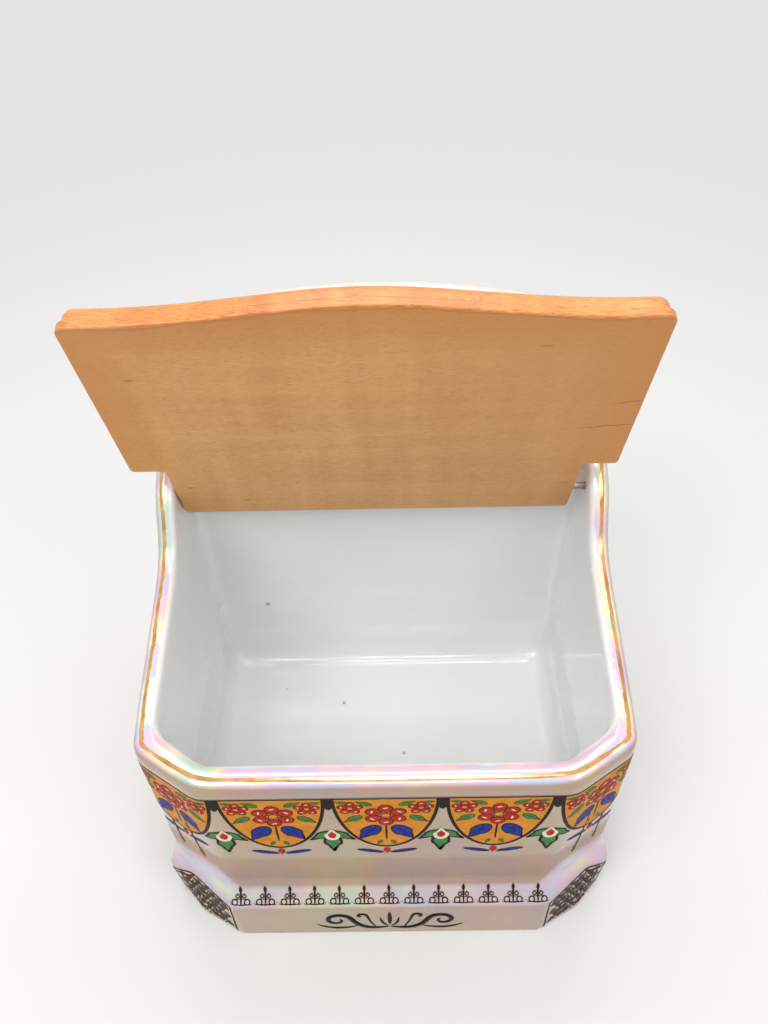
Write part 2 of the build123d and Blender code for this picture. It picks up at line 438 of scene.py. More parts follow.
# %% [markdown]
# ## Shared effects
# Two effects serve several finishes, so each is a node group, built once and placed in each material
# with its own values: cloudy mixing of two colours, and a soft-edged band round a value.

# %% Group: cloudy mixing
shader, given, result = new_group(
    "cloudy mixing", {"Place": "Vector", "Scale": "Float", "First": "Color", "Second": "Color",
                      "Contrast": "Float"}, {"Color": "Color", "Mask": "Float"})
cloud = shader.noise(given["Place"], given["Scale"], 3.0, 0.55)
lifted = shader.scaled(shader.math("SUBTRACT", cloud, 0.5), given["Contrast"], 0.5, clamp=True)
shader.feed(result, {"Color": shader.mix(lifted, given["First"], given["Second"]), "Mask": lifted})

# %% Group: painted band round a value
shader, given, result = new_group(
    "painted band", {"Value": "Float", "Centre": "Float", "Half width": "Float", "Edge": "Float"},
    {"Mask": "Float"})
away = shader.math("ABSOLUTE", shader.math("SUBTRACT", given["Value"], given["Centre"]))
outer = shader.math("ADD", given["Half width"], given["Edge"])
shader.feed(result, {"Mask": shader.span(away, given["Half width"], outer, 1.0, 0.0, smooth=True)})


def band(shader, value, centre, half_width, edge):
    """The painted band group's mask: 1 within half a width of the centre, 0 beyond the edge."""
    return shader.group("painted band", Value=value, Centre=centre, Half_width=half_width,
                        Edge=edge).outputs[0]


def cloudy(shader, place, scale, first, second, contrast):
    """The cloudy mixing group's outputs, for two paints."""
    return shader.group("cloudy mixing", Place=place, Scale=scale, First=paint(*first),
                        Second=paint(*second), Contrast=contrast).outputs


print("node groups:", [group.name for group in bpy.data.node_groups])

# %% [markdown]
# ## Mother-of-pearl glaze
# Lustre ware is glazed, fired, brushed with a metal salt and fired again. The salt leaves a film
# thinner than a wavelength of light, so the white glaze turns pink, lilac, green and straw in drifting
# patches. The patches are painted here as pale colours that wander round the body, strongest on the
# rim and the ledge, with a little metal in the reflection and a clear coat over all. Between them the
# front and sides are a darker pinkish beige, painted shade that stands for the shaded walls. It mostly
# fades out up the ears and the back plate, and the back face is left plain white. The ledge's band
# stops low on the cove, so that the cove's upper part keeps that painted shade, and it climbs into the
# cove at the cut corners. Inside the well the glaze is plain and cool white, but for four small iron
# spots. The two brushed lines, gold on the lip and brown above the border, ride on the stored rim
# coordinate and on height, with some wander in their edges. Above the ledge the coat is dulled, so that
# the cove doesn't mirror the stamps.

# %% Mix the pearl glaze
pearl, shader, surface, place = new_finish("pearl_lustre_glaze")
rim_line = shader.add("ShaderNodeAttribute", attribute_name="rim_line").outputs["Fac"]
well_depth = shader.add("ShaderNodeAttribute", attribute_name="well_depth").outputs["Fac"]
axes = shader.add("ShaderNodeSeparateXYZ", {0: place}).outputs
high_up = axes["Z"]
plate_back = 0.0546
in_front = shader.math("LESS_THAN", axes["Y"], plate_back)
wander = shader.noise(place, 90.0)
wobble = shader.math("SUBTRACT", wander, 0.5)

shimmer = shader.noise(place, 66.0, 1.5)
drift = shader.noise(place, 24.0, 1.0)
patches = shader.scaled(shader.math("ADD", shimmer, drift), 1.7, -1.2, clamp=True)
pearl_colours = shader.ramp(patches, [
    (0.0, (196, 230, 232)), (0.18, (208, 238, 212)), (0.36, (250, 240, 206)),
    (0.52, (250, 212, 218)), (0.7, (226, 204, 238)), (0.85, (204, 218, 244)), (1.0, (240, 240, 226))])
# Painted shade: away from the lustre the outside is a darkened pinkish beige that stands for the shade
# on the walls.
blush_and_shade = shader.ramp(shader.scaled(shader.noise(place, 22.0, 1.0), 1.8, -0.4, clamp=True), [
    (0.0, (155, 144, 108)), (0.3, (164, 139, 101)), (0.55, (165, 131, 101)), (0.8, (158, 129, 110)),
    (1.0, (153, 137, 110))])
# Most of the painted shade fades into plain white glaze up the ears and the back plate.
blush_and_shade = shader.mix(shader.span(high_up, 0.095, 0.15, last=0.75), blush_and_shade, paint(236, 232, 222))
near_rim = band(shader, rim_line, centre=-5.2, half_width=3.6, edge=3.6)
# The ledge band stops low on the cove, so its upper part keeps the painted shade. It climbs higher at
# the cut corners.
cut_corner = shader.span(shader.math("ABSOLUTE", axes["X"]), 0.046, 0.054, smooth=True)
on_ledge = band(shader, high_up, centre=shader.scaled(cut_corner, 0.0043, 0.0225),
                half_width=shader.scaled(cut_corner, 0.0021, 0.0014),
                edge=shader.scaled(cut_corner, 0.004, 0.003))
ledge_lustre = shader.times(shader.times(on_ledge, in_front), 0.72)
lustre = shader.math("MAXIMUM", shader.math("MAXIMUM", near_rim, ledge_lustre), 0.1)
flat_ledge = shader.times(on_ledge, shader.scaled(cut_corner, -0.4, 0.52))
soft_pearl = shader.mix(flat_ledge, pearl_colours, paint(188, 191, 186))
outside = shader.mix(lustre, blush_and_shade, soft_pearl)
# The back face keeps the plain white glaze, without lustre or painted shade.
outside = shader.mix(in_front, paint(232, 229, 221), outside)

cool_white = cloudy(shader, place, 14.0, (236, 240, 240), (244, 247, 247), 2.0)["Color"]
for spot, size, strength in (
        ((-0.0454, 0.0495, 0.0433), 0.85, 0.72), ((-0.0173, 0.0263, 0.0094), 0.6, 0.7),
        ((0.0058, 0.0044, 0.0094), 0.6, 0.6), ((-0.0402, 0.0330, 0.0094), 0.4, 0.3)):
    away = shader.add("ShaderNodeVectorMath", {0: place, 1: spot}, operation="DISTANCE")
    iron = shader.span(away.outputs["Value"], 0.0003, size * 0.0015, strength, 0.0)
    cool_white = shader.mix(iron, cool_white, paint(128, 104, 84))
edge_of_well = shader.scaled(wobble, 1.8, well_depth)
in_the_well = shader.span(edge_of_well, -2.3, -1.1, smooth=True)
clay_colour = shader.mix(in_the_well, outside, cool_white)
out_of_well = shader.math("SUBTRACT", 1.0, in_the_well)

gilt_place = shader.scaled(wobble, 1.1, rim_line)
gilt_width = shader.scaled(shader.noise(place, 260.0, 1.0), 0.5, 0.3)
gilt = band(shader, gilt_place, centre=-2.2, half_width=gilt_width, edge=0.35)
gilt = shader.times(gilt, out_of_well)
gilt_colour = cloudy(shader, place, 150.0, (246, 198, 122), (196, 134, 70), 2.5)["Color"]
brown_place = shader.scaled(wobble, 0.0005, high_up)
brown = band(shader, brown_place, centre=0.0839, half_width=0.0003, edge=0.0002)
brown = shader.times(shader.times(brown, in_front), shader.math("LESS_THAN", well_depth, -3.0))
colour = shader.mix(shader.times(brown, 0.9), clay_colour, paint(74, 44, 40))
colour = shader.mix(gilt, colour, gilt_colour)

film_metal = shader.times(shader.times(lustre, 0.14), out_of_well)
metal = shader.math("MAXIMUM", shader.times(gilt, 0.65), film_metal)
dull = band(shader, high_up, centre=0.037, half_width=0.005, edge=0.006)
rough = shader.scaled(dull, 0.3, shader.scaled(wander, 0.1, 0.08))
ripple = shader.add("ShaderNodeBump", {"Strength": 0.12, "Distance": 0.0008,
                                       "Height": shader.noise(place, 70.0, 1.5)})
shader.feed(surface, {"Base Color": colour, "Metallic": metal, "Roughness": rough,
                      "Normal": ripple.outputs[0], "Coat Roughness": 0.04,
                      "Coat Weight": shader.scaled(dull, -0.55, 0.6)})
body.data.materials.clear()
body.data.materials.append(pearl)
print("glaze nodes:", len(pearl.node_tree.nodes))

# %% [markdown]
# ## The beech lid
# The lid is a beech board. Its top and moulded edge are varnished orange, and the underside is bare,
# so it is a paler tan with the short dark flecks that beech shows along the grain. The grain runs
# across the lid. A Mapping node lays the pattern flat on the leaning board: x across, y from the pin
# to the front edge and z out of the underside, all in millimetres, so the border of the varnish can
# be drawn a millimetre inside the outline, a little uneven, as a brush leaves it.

# %% Group: beech
shader, given, result = new_group(
    "beech", {"Board": "Vector", "Pale": "Color", "Deep": "Color", "Fleck": "Color"},
    {"Color": "Color", "Height": "Float"})


def stretched(scale):
    """The board's own coordinates, scaled apart along and across the grain."""
    return shader.add("ShaderNodeMapping", {"Vector": given["Board"], "Scale": scale}).outputs[0]


growth = shader.noise(stretched((0.012, 0.16, 0.16)), 1.0, 4.0, 0.6)
sheen_bands = shader.noise(stretched((0.11, 0.012, 0.02)), 1.0)
fine = shader.noise(stretched((0.32, 3.4, 3.4)), 1.0, 3.0, 0.7)
flecks = shader.span(shader.noise(stretched((0.5, 3.2, 3.2)), 1.0, 1.0, 0.4), 0.6, 0.72)
tone = shader.scaled(growth, 0.6, shader.scaled(sheen_bands, 0.75, shader.times(fine, 1.3)))
tone = shader.scaled(shader.math("SUBTRACT", tone, 1.325), 1.5, 0.5, clamp=True)
wood = shader.mix(tone, given["Deep"], given["Pale"])
wood = shader.mix(shader.times(flecks, 0.44), wood, given["Fleck"])
shader.feed(result, {"Color": wood, "Height": shader.scaled(flecks, -0.6, fine)})

# %% Group: hairline
shader, given, result = new_group(
    "hairline", {"Board": "Vector", "Across": "Float", "Along": "Float", "Half length": "Float",
                 "Half width": "Float", "Slope": "Float"}, {"Mask": "Float"})
axes = shader.add("ShaderNodeSeparateXYZ", {0: given["Board"]}).outputs
run = shader.math("SUBTRACT", axes["X"], given["Across"])
jitter = shader.times(shader.math("SUBTRACT", shader.noise(given["Board"], 0.35), 0.5), 1.4)
rise = shader.math("SUBTRACT", shader.math("ADD", axes["Y"], jitter), given["Along"])
off_line = shader.math("ABSOLUTE", shader.math("SUBTRACT", rise, shader.times(run, given["Slope"])))
share = shader.math("DIVIDE", run, given["Half length"])
fullness = shader.math("SUBTRACT", 1.0, shader.times(share, share), clamp=True)
inside_line = shader.math("SUBTRACT", shader.times(fullness, given["Half width"]), off_line)
shader.feed(result, {"Mask": shader.span(inside_line, -0.06, 0.05)})
print("hairline marks follow the grain")

# %% Varnish and bare wood on the lid
lid_lean, lid_half_thick = 18.8, 3.75
pin_place = Vector((-2.0, 39.0, 113.8))
lay_flat = math.radians(-90 - lid_lean)
lid_wood, shader, surface, place = new_finish("varnished_beech")
board = shader.add("ShaderNodeMapping", {
    "Vector": place, "Location": -(Matrix.Rotation(lay_flat, 3, "X") @ pin_place),
    "Scale": (1000, 1000, 1000), "Rotation": (lay_flat, 0, 0)}).outputs[0]
axes = shader.add("ShaderNodeSeparateXYZ", {0: board}).outputs
wide = shader.math("ABSOLUTE", axes["X"])
side_reach, side_splay = 71.4, -0.0255
front_reach, swell_half_width, swell_rise = 87.4, 61.7, 5.6
board_side = shader.scaled(axes["Y"], side_splay, side_reach)
side_gap = shader.math("SUBTRACT", board_side, wide)
on_swell = shader.math("MINIMUM", wide, swell_half_width)
wave = shader.math("COSINE", shader.times(on_swell, math.pi / swell_half_width))
swell = shader.times(shader.math("ADD", wave, 1.0), swell_rise / 2)
front_gap = shader.math("SUBTRACT", shader.math("ADD", swell, front_reach), axes["Y"])
brush = shader.times(shader.math("SUBTRACT", shader.noise(board, 0.16), 0.5), 1.6)
varnish_edge = shader.math("ADD", front_gap, brush)
underside = shader.math("GREATER_THAN", axes["Z"], lid_half_thick - 0.25)
bare = shader.times(shader.span(varnish_edge, 0.7, 1.1), underside)
edge_gap = shader.math("MINIMUM", side_gap, shader.times(front_gap, 1.2))
stain = shader.span(edge_gap, 22.0, 0.0, smooth=True)
bare_wood = shader.group("beech", Board=board, Pale=paint(238, 184, 122),
                         Deep=paint(208, 148, 86), Fleck=paint(178, 118, 66))
varnished = shader.group("beech", Board=board, Pale=paint(238, 166, 84), Deep=paint(200, 110, 46),
                         Fleck=paint(140, 62, 28))
# Painted shade: the bare underside is darker towards its right side and towards its front edge.
shade_to_right_and_edge = shader.math("ADD", shader.span(axes["Y"], 0.0, 85.0, last=0.45),
                   shader.span(axes["X"], 5.0, 65.0, last=0.38))
warm = shader.mix(shade_to_right_and_edge, bare_wood.outputs["Color"], paint(202, 142, 84))
warm = shader.mix(shader.times(stain, 0.65), warm, paint(208, 136, 66))
for across, along, half_long, half_wide, slope, strength in (
        (66.3, 53.2, 4.6, 0.16, 0.18, 0.8), (63.2, 41.7, 8.0, 0.17, 0.11, 0.9),
        (-58.0, 66.9, 1.6, 0.34, -0.04, 0.8), (41.9, 77.3, 1.7, 0.3, 0.03, 0.75),
        (-55.9, 10.2, 0.9, 0.25, 0.05, 0.7), (-40.0, 1.4, 1.2, 0.3, 0.1, 0.6),
        (57.6, 9.6, 2.2, 0.2, 0.3, 0.55)):
    mark = shader.group("hairline", Board=board, Across=across, Along=along, Half_length=half_long,
                        Half_width=half_wide, Slope=slope).outputs[0]
    warm = shader.mix(shader.times(mark, strength), warm,
                      paint(186, 92, 36) if along > 60 else paint(140, 76, 38))
build_up = band(shader, varnish_edge, centre=1.15, half_width=0.15, edge=0.45)
warm = shader.mix(shader.times(build_up, 0.35), warm, paint(180, 104, 48))
lid_colour = shader.mix(bare, varnished.outputs["Color"], warm)
pores = shader.add("ShaderNodeBump", {"Strength": 0.45, "Distance": 0.0003,
                                      "Height": bare_wood.outputs["Height"]})
shader.feed(surface, {"Base Color": lid_colour, "Normal": pores.outputs[0], "Coat Roughness": 0.16,
                      "Roughness": shader.scaled(bare, 0.33, 0.3),
                      "Coat Weight": shader.scaled(bare, -0.35, 0.35)})


def dress(node_name, finish):
    """Give a piece of the solid model its finish."""
    for slot in nodes[node_name].material_slots:
        slot.material = finish


dress("wooden_lid", lid_wood)
print("beech nodes:", len(lid_wood.node_tree.nodes))

# %% [markdown]
# ## The hinge pins
# Each pin is a plain steel wire, dulled and browned by salt. Metal with patchy roughness and a brown
# bloom that follows a cloudy mask reads as old steel even where only a few millimetres show.

# %% Rusty steel
steel, shader, surface, place = new_finish("salt_dulled_steel")
bloom = cloudy(shader, place, 420.0, (196, 186, 172), (146, 118, 94), 3.0)
shader.feed(surface, {"Base Color": bloom["Color"],
                      "Metallic": shader.scaled(bloom["Mask"], -0.5, 0.8, clamp=True),
                      "Roughness": shader.scaled(bloom["Mask"], 0.3, 0.35)})
for side in ("left", "right"):
    dress(side + "_hinge_pin", steel)
print("dressed both pins with", steel.name)

# %% [markdown]
# ## How the print is laid on
# The real border is a transfer: a thin sheet of printed enamel that is soaked off its paper and
# smoothed on to the glaze. The same is done here. Each motif is drawn flat, as a disc shaped in edit
# mode whose rim is inset to give the dark printed outline. Copies are set out on a flat sheet, joined,
# sliced so that they can bend, and then wrapped round the body about a tenth of a millimetre proud of
# the glaze. Drawing flat keeps every shape simple, and wrapping once keeps them in line.

# %% Enamels for the print
def enamel(name, colour, shade, scale=600.0, contrast=2.0):
    """A printed enamel: two close tones in a fine mottle under a clear glaze."""
    finish, shader, surface, place = new_finish(name)
    tone = cloudy(shader, place, scale, colour, shade, contrast)
    shader.feed(surface, {"Base Color": tone["Color"], "Specular IOR Level": 0.05,
                          "Roughness": shader.scaled(tone["Mask"], 0.15, 0.3)})
    return finish


inks = {
    "outline": enamel("print_outline_black", (22, 14, 12), (40, 26, 20)),
    "ochre": enamel("print_ochre", (222, 148, 42), (202, 126, 32), 300.0),
    "red": enamel("print_brick_red", (198, 44, 20), (160, 28, 16), 900.0),
    "green": enamel("print_leaf_green", (80, 148, 76), (48, 112, 56), 700.0),
    "blue": enamel("print_deep_blue", (18, 50, 164), (10, 28, 108), 900.0, 3.0),
    "ivory": enamel("print_ivory", (238, 226, 206), (226, 210, 190)),
}
ink_order = list(inks)
layer_step = 0.022


# %% Draw flat shapes
def flat_shape(name, ink, wide, tall, outline=0.0, corners=18, point=0.0, top_flat=False):
    """A disc in the XZ plane, sized, pointed at its top or cut off flat, with an inset outline.
    Sizes are millimetres. The shape is centred on its origin, or hangs from it if its top is flat."""
    bpy.ops.object.select_all(action="DESELECT")
    bpy.ops.mesh.primitive_circle_add(vertices=corners, radius=0.5 * mm, fill_type="NGON",
                                      rotation=(math.pi / 2, 0, 0))
    bpy.ops.object.transform_apply(rotation=True)
    shape = bpy.context.object
    shape.name = name
    edit(shape)
    bpy.ops.transform.resize(value=(wide, 1, tall * (2 if top_flat else 1)))
    done()
    if point:
        edit(shape, lambda v: v.co.z > 0.2 * tall * mm)
        bpy.ops.transform.resize(value=(1 - point, 1, 1), center_override=(0, 0, 0))
        done()
        edit(shape, lambda v: v.co.z > 0.45 * tall * mm)
        bpy.ops.transform.resize(value=(0.2, 1, 1), center_override=(0, 0, 0))
        bpy.ops.transform.translate(value=(0, 0, 0.12 * tall * mm))
        done()
    if top_flat:
        cut(shape, (0, 0, 0), (0, 0, 1), clear=True)
    for label in ink_order:
        shape.data.materials.append(inks[label])
    shape.data.polygons[0].material_index = ink_order.index(ink)
    if outline:
        edit(shape, kind="FACE")
        bpy.ops.mesh.inset(thickness=outline * mm, depth=0)
        bpy.ops.mesh.select_all(action="INVERT")
        done()
        for face in shape.data.polygons:
            if face.select:
                face.material_index = 0
    edit(shape)
    bpy.ops.mesh.normals_make_consistent(inside=False)
    done()
    if sum(face.normal.y for face in shape.data.polygons) > 0:
        shape.data.flip_normals()
    return shape


def set_out(shape, across, up, turn=0.0, size=1.0, layer=0):
    """A copy of a flat shape, turned and placed on the sheet, with its own mesh."""
    copy = bpy.data.objects.new(shape.name, shape.data.copy())
    scene.collection.objects.link(copy)
    copy.data.transform(Matrix.Translation((across * mm, -layer_step * layer * mm, up * mm))
                        @ Matrix.Rotation(math.radians(turn), 4, "Y")
                        @ Matrix.Diagonal((size, 1, size, 1)))
    return copy


def join(pieces, name):
    """Join pieces into one and name it."""
    only(pieces[0])
    for piece in pieces:
        piece.select_set(True)
    bpy.ops.object.join()
    pieces[0].name = name
    return pieces[0]


def discard(pieces):
    """Remove pattern pieces that were only copied from."""
    for piece in pieces:
        bpy.data.objects.remove(piece)


# %% [markdown]
# ## Following the body with a flat sheet
# In plan the front half of the body is three straight runs, front, cut corner and side, with the
# corners rounded. A point of the sheet is carried round by walking that outline to its distance from
# the middle of the front. The foot, the cove above it and the body each have their own outline, so
# the walk takes the corners for the height it is at.

# %% Walk the outline
def walk(corners, radii, distance):
    """The point and outward direction at a distance along a half outline with rounded corners."""
    sign = -1 if distance < 0 else 1
    left = abs(distance)
    here = Vector((0, corners[0][1]))
    for index, corner in enumerate(corners):
        corner = Vector(corner)
        run = corner - here
        heading = run.normalized()
        outward = Vector((heading.y, -heading.x))
        if index == len(corners) - 1:
            spot = here + heading * left
            break
        next_heading = (Vector(corners[index + 1]) - corner).normalized()
        turn = heading.angle(next_heading)
        radius = max(radii[index], 0.01)
        trim = radius * math.tan(turn / 2)
        straight = run.length - trim
        if left <= straight:
            spot = here + heading * left
            break
        left -= straight
        arc = radius * turn
        if left <= arc:
            angle = left / radius
            centre = here + heading * straight - outward * radius
            outward = Matrix.Rotation(angle, 2) @ outward
            spot = centre + outward * radius
            break
        left -= arc
        here = corner + next_heading * trim
    return Vector((spot.x * sign, spot.y)), Vector((outward.x * sign, outward.y))


def blend_corners(low, high, share):
    """The corners of an outline that lies between a low and a high one."""
    return [(a[0] + (b[0] - a[0]) * share, a[1] + (b[1] - a[1]) * share)
            for a, b in zip(low, high)]


foot_top, body_bottom, body_tall = 20.8, 31.0, 68.8
cove_deep, cove_tall = 5.6, 10.2
foot_radius, body_radius = 2.5, 7.0
foot_low = [(49.5, -55.5), (63.0, -48.5), (72.0, -38.5), (72.0, 55.5)]
foot_high = [(50.2, -54.5), (64.8, -42.3), (72.0, -41.3), (72.0, 55.5)]
body_low = [(49.8, -48.9), (62.93, -41.035), (70.0, -36.8), (70.0, 55.5)]
body_high = [(51.4, -48.9), (63.49, -41.035), (70.0, -36.8), (70.0, 55.5)]


def on_body(height):
    """The corners, their radii, the height and the lean of the surface at a height."""
    corners = blend_corners(body_low, body_high, (height - body_bottom) / body_tall)
    return corners, (body_radius, 0, body_radius), height, (1, 0)


def on_foot(height):
    corners = blend_corners(foot_low, foot_high, height / foot_top)
    return corners, (foot_radius, 0, foot_radius), height, (1, 0)


def on_cove(along):
    """Follow the hollow curve that joins the foot to the body, from the edge of the foot."""
    angle, travelled = 0.0, 0.0
    while travelled < along and angle < math.pi / 2:
        angle += 0.02
        travelled += 0.02 * math.hypot(cove_deep * math.cos(angle), cove_tall * math.sin(angle))
    rise, share = 1 - math.cos(angle), math.sin(angle)
    radius = foot_radius + (body_radius - foot_radius) * share
    return (blend_corners(foot_high, body_low, share), (radius, 0, radius),
            foot_top + cove_tall * rise, (share, math.cos(angle)))


def wrap(sheet, surface_at, proud=0.06):
    """Carry each point of a flat sheet on to the body: X along, Z up, -Y out of the surface."""
    known = {}
    for vertex in sheet.data.vertices:
        along, out, up = vertex.co / mm
        key = round(up, 3)
        if key not in known:
            known[key] = surface_at(up)
        corners, radii, height, lean = known[key]
        spot, outward = walk(corners, radii, along)
        near = body.closest_point_on_mesh(Vector((spot.x, spot.y, height)) * mm)[1]
        vertex.co = near + (proud - out) * mm * Vector((outward.x * lean[0], outward.y * lean[0],
                                                        lean[1]))
    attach(sheet, "box")
    return sheet


def slice_upright(sheet, places):
    """Cut a sheet along upright lines on each side of its middle, so that it can bend there."""
    for sign in (-1, 1):
        for place in places:
            cut(sheet, (sign * place, 0, 0), (1, 0, 0))


# %% [markdown]
# ## The printed border
# Below the brown line hangs a border of ochre festoons, a stock idea of painted pottery. Each one
# holds a red rosette between two smaller ones, with green leaves and blue buds, and a green sprig with
# a red berry hangs between each pair. One festoon and one sprig are drawn, then repeated round the
# body from the middle of the front to the back edge.

# %% Draw the parts of one festoon
top_outline = 0.6
field = flat_shape("field", "ochre", 29.8, 31.5, outline=1.05, corners=56, top_flat=True)
cut(field, (0, 0, -top_outline), (0, 0, 1), clear=True)
edit(field)
bpy.ops.transform.translate(value=(0, 0, top_outline * mm))
done()
petal = flat_shape("petal", "red", 3.9, 4.3, outline=0.3, corners=14)
eye = flat_shape("eye", "ochre", 2.6, 2.6, outline=0.25, corners=14)
leaf = flat_shape("leaf", "green", 3.4, 6.6, outline=0.32, point=0.35)
broad_leaf = flat_shape("broad_leaf", "green", 3.6, 6.6, outline=0.55, point=0.35)
bud = flat_shape("bud", "blue", 4.6, 7.6, outline=0.32, point=0.3)
scroll = flat_shape("scroll", "blue", 8.6, 2.1, outline=0.3)
drop = flat_shape("drop", "red", 2.4, 4.2, corners=16, point=0.4)
halo = flat_shape("halo", "ivory", 4.6, 6.6, point=0.35)
stem = flat_shape("stem", "outline", 0.7, 12.0, corners=8)
web = flat_shape("web", "outline", 3.4, 6.5, corners=20, top_flat=True)
glint = flat_shape("glint", "ivory", 0.55, 1.6, corners=6)
vein = flat_shape("vein", "outline", 0.34, 4.2, corners=6)
patterns = [field, petal, eye, leaf, broad_leaf, bud, scroll, drop, halo, stem, web, glint, vein]


def rosette(across, up, petals, spread, size):
    """A ring of petals round an eye."""
    flower = []
    for k in range(petals):
        turn = 360 * k / petals
        out_across, out_up = math.sin(math.radians(turn)), math.cos(math.radians(turn))
        flower.append(set_out(petal, across + spread * out_across, up + spread * out_up, turn=turn,
                              size=size, layer=3 + k % 2))
        flower.append(set_out(glint, across + 1.1 * spread * out_across,
                              up + 1.1 * spread * out_up, turn=turn + 70, size=size, layer=5))
    return flower + [set_out(eye, across, up, size=size, layer=5)]


def veined(shape, across, up, turn, size):
    """A leaf or bud with a dark vein down its middle."""
    return [set_out(shape, across, up, turn=turn, size=size, layer=2),
            set_out(vein, across, up, turn=turn, size=size, layer=3)]


# %% Set out one festoon and one sprig
festoon = [set_out(field, 0, 0, layer=0), set_out(stem, 0, -20.5, layer=1)]
festoon += rosette(0, -9.9, 6, 4.0, 1.12)
for side in (-1, 1):
    festoon += rosette(side * 9.7, -5.5, 5, 2.3, 0.7)
    for shape, across, up, turn, size in (
            (leaf, 5.7, -2.9, 62, 0.72), (leaf, 11.9, -2.2, 78, 0.5), (leaf, 9.0, -12.0, 128, 0.9),
            (bud, 4.7, -20.2, 148, 1.25), (leaf, 2.0, -27.4, 158, 0.45)):
        festoon += veined(shape, side * across, up, side * turn, size)
    festoon += [set_out(scroll, side * 4.9, -33.6, turn=side * -16, size=0.95, layer=1)]
festoon += [set_out(drop, 0, -33.2, turn=180, size=0.9, layer=2)]
sprig = [set_out(web, 0, 0, layer=1)]
sprig += [set_out(broad_leaf, 0, -27.2, turn=180, size=1.6, layer=1)]
for side in (-1, 1):
    sprig += [set_out(broad_leaf, side * 2.7, -22.6, turn=side * 128, size=1.25, layer=0)]
sprig += [set_out(halo, 0, -22.6, layer=2), set_out(drop, 0, -22.4, layer=3)]
festoon = join(festoon, "festoon")
sprig = join(sprig, "sprig")

# %% Repeat the border and wrap it round
pitch = 31.2
border_top = 83.6
half_way_round = 163.0
bend_places = np.arange(46.5, 80.5, 1.0)
border = [set_out(festoon, step * pitch, border_top) for step in range(-5, 6)]
border += [set_out(sprig, (step + 0.5) * pitch, border_top) for step in range(-5, 5)]
border = join(border, "festoon_border")
slice_upright(border, bend_places)
for sign in (-1, 1):
    cut(border, (sign * half_way_round, 0, 0), (sign, 0, 0), clear=True)
wrap(border, on_body)
discard([festoon, sprig] + patterns)
print("festoon border:", len(border.data.polygons), "faces")

# %% [markdown]
# ## Stamps, corner fretwork and the flourish
# A row of small brown stamps stands on the ledge, like a row of little trees, and the cut corners of
# the foot carry a brown fretwork of rings and leaves inside a thin frame. The middle of the foot has a
# hand-drawn flourish, a scroll on each side of a plume. All are single-colour prints, so they are drawn
# without outlines. A ring is a disc whose middle is inset and deleted, and a stroke is a curve with a
# round section that swells as a brush does, made a mesh and pressed nearly flat. Two gold strokes run
# down each corner of the body, where the gilder lifted the brush.

# %% Draw rings and brush strokes
dark = inks["outline"]
brown_print = enamel("print_stamp_brown", (44, 26, 20), (76, 46, 36))
gold_brown = enamel("brushed_gold_brown", (150, 104, 50), (92, 60, 34), 300.0, 3.0)
gold_brown.node_tree.nodes["Principled BSDF"].inputs["Metallic"].default_value = 0.35


def ring(name, wide, thick, corners=14):
    """A flat ring in the XZ plane."""
    shape = flat_shape(name, "outline", wide, wide, outline=thick, corners=corners)
    edit(shape, lambda face: len(face.vertices) > 4, "FACE")
    bpy.ops.mesh.delete(type="FACE")
    done()
    return shape


def middle(share):
    """A swelling that is full in the middle of a stroke and gone at its ends."""
    return math.sin(math.pi * share)


def stroke(name, points, thickness, finish, taper=0.35, smooth=True, swell=middle):
    """A brush stroke through points of the sheet, thin at its ends and pressed nearly flat."""
    bpy.ops.object.select_all(action="DESELECT")
    bpy.ops.curve.primitive_nurbs_path_add()
    path = bpy.context.object
    path.name = name
    path.data.splines.clear()
    line = path.data.splines.new("NURBS")
    line.points.add(len(points) - 1)
    for index, (point, (across, up)) in enumerate(zip(line.points, points)):
        share = index / (len(points) - 1)
        point.co = (across * mm, 0, up * mm, 1)
        point.radius = taper + (1 - taper) * swell(share) if smooth else 1.0
    line.order_u = 4 if smooth else 2
    line.use_endpoint_u = True
    line.resolution_u = 6
    path.data.bevel_depth = thickness / 2 * mm
    path.data.bevel_resolution = 1
    path.data.use_fill_caps = True
    bpy.ops.object.convert(target="MESH")
    piece = bpy.context.object
    piece.data.materials.clear()
    piece.data.materials.append(finish)
    edit(piece)
    bpy.ops.transform.resize(value=(1, 0.12, 1), center_override=(0, 0, 0))
    done()
    return piece


def both_sides(name, points, *look, **settings):
    """The same stroke to the left and to the right of the middle."""
    return [stroke(name, [(side * across, up) for across, up in points], *look, **settings)
            for side in (-1, 1)]


# %% Stamp the ledge
low_curl = ring("low_curl", 1.9, 0.36)
high_curl = ring("high_curl", 1.3, 0.32)
spire = flat_shape("spire", "outline", 0.95, 2.4, corners=10, point=0.4)
trunk = flat_shape("trunk", "outline", 0.6, 5.0, corners=8)
bough = flat_shape("bough", "outline", 6.4, 0.5, corners=12)
tree = [set_out(trunk, 0, 2.6), set_out(spire, 0, 5.0), set_out(bough, 0, 0.4),
        set_out(bough, 0, 3.6, size=0.4), set_out(bough, 0, 2.0, size=0.62)]
for side in (-1, 1):
    tree += [set_out(high_curl, side * 0.95, 2.85), set_out(low_curl, side * 1.75, 1.15),
             set_out(bough, side * 3.0, 0.75, turn=side * -40, size=0.18)]
tree = join(tree, "tree_stamp")
stamp_pitch, stamp_lift, stamp_size = 7.85, 0.15, 1.14
stamps = join([set_out(tree, step * stamp_pitch, stamp_lift, size=stamp_size)
               for step in range(-6, 7)], "ledge_stamps")
for level in np.arange(1.0, 7.5, 0.7):
    cut(stamps, (0, 0, level), (0, 0, 1))
wrap(stamps, on_cove, 0.16)
stamps.data.materials[0] = brown_print
discard([tree, low_curl, high_curl, spire, trunk, bough])
print("ledge stamps:", len(stamps.data.polygons), "faces")

